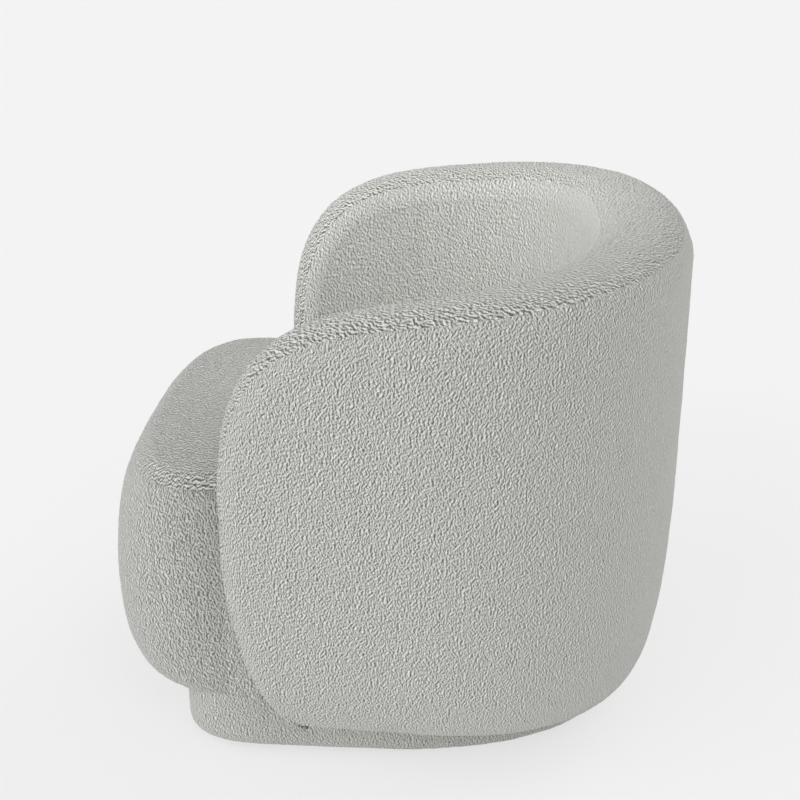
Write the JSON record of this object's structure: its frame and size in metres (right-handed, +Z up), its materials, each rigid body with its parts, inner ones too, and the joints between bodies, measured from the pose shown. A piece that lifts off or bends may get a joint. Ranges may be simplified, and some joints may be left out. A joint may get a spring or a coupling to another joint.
{
  "type": "tub chair",
  "caption": "Upholstered tub chair: a round shell of arms and back on a recessed plinth, with a fixed sprung seat block that bulges at the front.",
  "frame": {"origin": "on the floor under the middle of the chair's box", "axes": "+Z up, the seat faces -Y, +X to the seated person's left, symmetric about the YZ plane"},
  "size_m": [0.8472, 0.8055, 0.72],
  "materials": {
    "boucle": "looped pile, matt",
    "lining": "spun-bonded",
    "glide": "moulded",
    "beech": "sawn",
    "steel": "zinc plated",
    "foam": "open-cell foam",
    "wadding": "polyester wadding",
    "board": "hardboard",
    "plywood": "birch plywood"
  },
  "bodies": {
    "root": {"plinth_bottom_ring": "plywood", "plinth_top_ring": "plywood", "plinth_posts": "beech", "plinth_board": "board", "plinth_wadding": "wadding", "plinth_cover": "boucle", "dust_cover": "lining", "foot_blocks": "beech", "glides": "glide", "foot_screws": "steel", "base_ring": "plywood", "frame_bolts": "steel", "bolt_washers": "steel", "frame_nuts": "steel", "seat_ring": "plywood", "spring_ring_lower": "plywood", "spring_ring_upper": "plywood", "seat_front_plate": "plywood", "seat_front_posts": "beech", "seat_front_board": "board", "centre_rib": "plywood", "arm_front_former_right": "plywood", "arm_front_former_left": "plywood", "right_rib_1": "plywood", "right_rib_2": "plywood", "right_rib_3": "plywood", "right_rib_4": "plywood", "right_rib_5": "plywood", "right_rib_6": "plywood", "left_rib_1": "plywood", "left_rib_2": "plywood", "left_rib_3": "plywood", "left_rib_4": "plywood", "left_rib_5": "plywood", "left_rib_6": "plywood", "rim_strip": "board", "outer_board": "board", "inner_board": "board", "outer_wadding": "wadding", "inner_foam": "foam", "rim_foam": "foam", "springs": "steel", "spring_clips": "steel", "spring_ties": "lining", "spring_cloth": "lining", "seat_foam": "foam", "seat_topper": "wadding", "seat_border_foam": "foam", "outer_cover": "boucle", "rim_cover": "boucle", "inner_cover": "boucle", "seat_border_cover": "boucle", "seat_bottom_cover": "boucle", "seat_top_cover": "boucle"}
  },
  "joints": []
}
